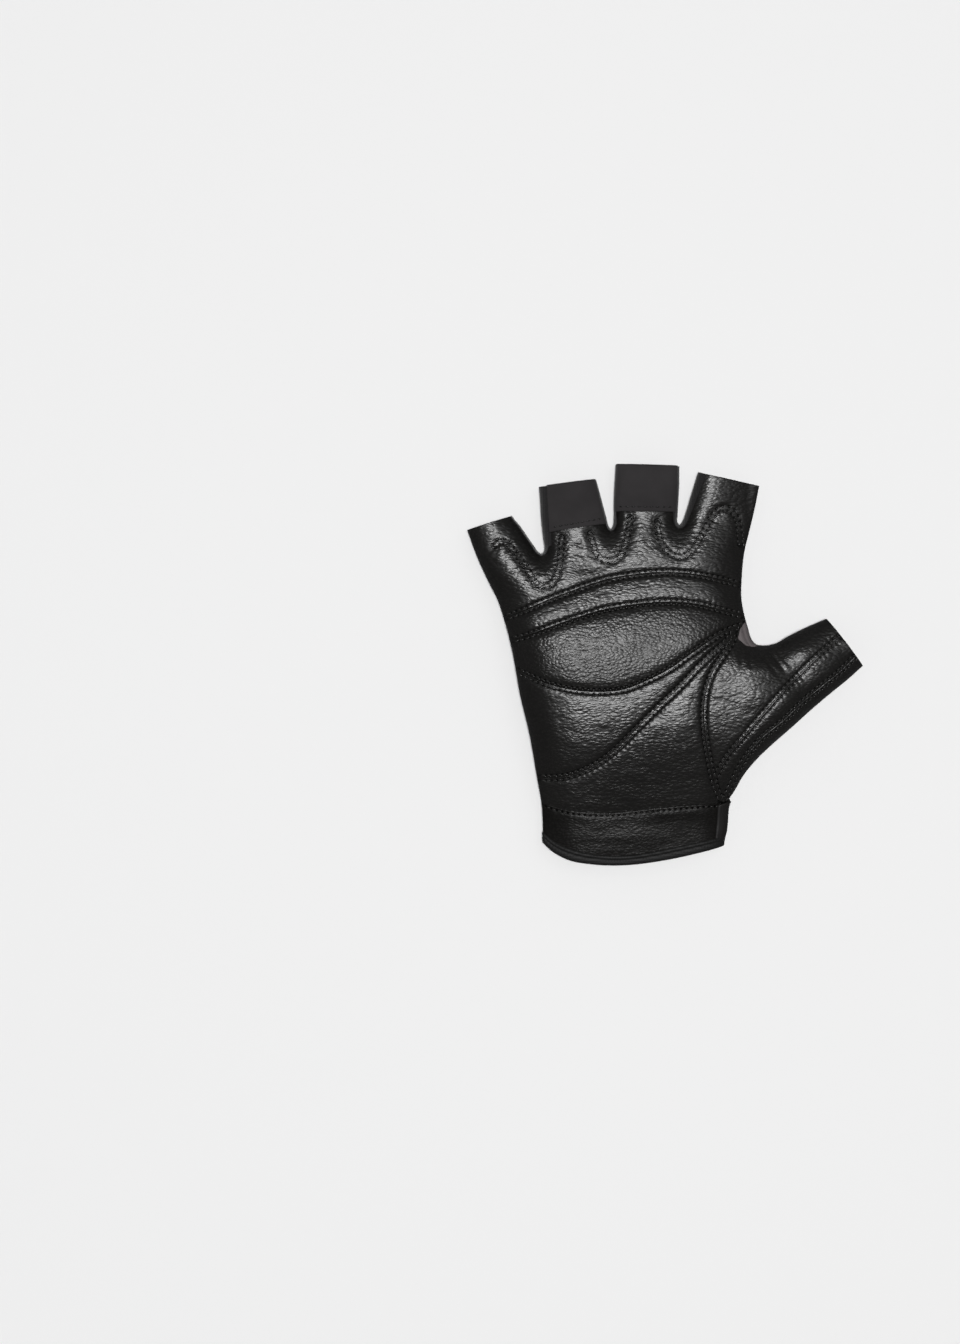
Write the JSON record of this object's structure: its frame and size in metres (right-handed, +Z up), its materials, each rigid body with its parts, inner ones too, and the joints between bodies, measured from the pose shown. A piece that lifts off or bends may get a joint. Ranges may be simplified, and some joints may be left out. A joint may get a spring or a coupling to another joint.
{
  "type": "fitness glove",
  "caption": "Fingerless training glove for a right hand, lying palm up: padded leather palm, knit back, pull tabs on two fingers, open thumb and a wrist strap.",
  "frame": {"origin": "on the surface the glove lies on, under the middle of its outline", "axes": "+Y along the fingers, +X towards the thumb, +Z up out of the palm"},
  "size_m": [0.1505, 0.1513, 0.0225],
  "materials": {
    "palm_leather": "semi-gloss grained goatskin over foam",
    "thumb_leather": "soft wrinkled goatskin",
    "stretch_knit": "matte fine stretch knit, with glossy film bands on the back",
    "tab_cloth": "matte charcoal brushed cloth",
    "cuff_elastic": "ribbed elastic",
    "binding": "folded woven binding tape",
    "strap_cover": "satin coated closure strap",
    "loop_pile": "brushed loop pile"
  },
  "bodies": {
    "root": {"palm_upper": "palm_leather", "knuckle_roll": "palm_leather", "centre_pad": "palm_leather", "diagonal_band": "palm_leather", "heel_panel": "palm_leather", "thumb_panel": "thumb_leather", "thumb_strip": "thumb_leather", "thumb_edge": "thumb_leather", "cuff_palm": "palm_leather", "back_panel": "stretch_knit", "thumb_back": "thumb_leather", "cuff_back": "cuff_elastic", "loop_patch": "loop_pile", "fourchette_little_ring": "stretch_knit", "fourchette_ring_middle": "stretch_knit", "fourchette_middle_index": "stretch_knit", "pull_tab_ring": "tab_cloth", "pull_tab_middle": "tab_cloth", "hem_binding": "binding", "closure_strap": "strap_cover"}
  },
  "joints": []
}
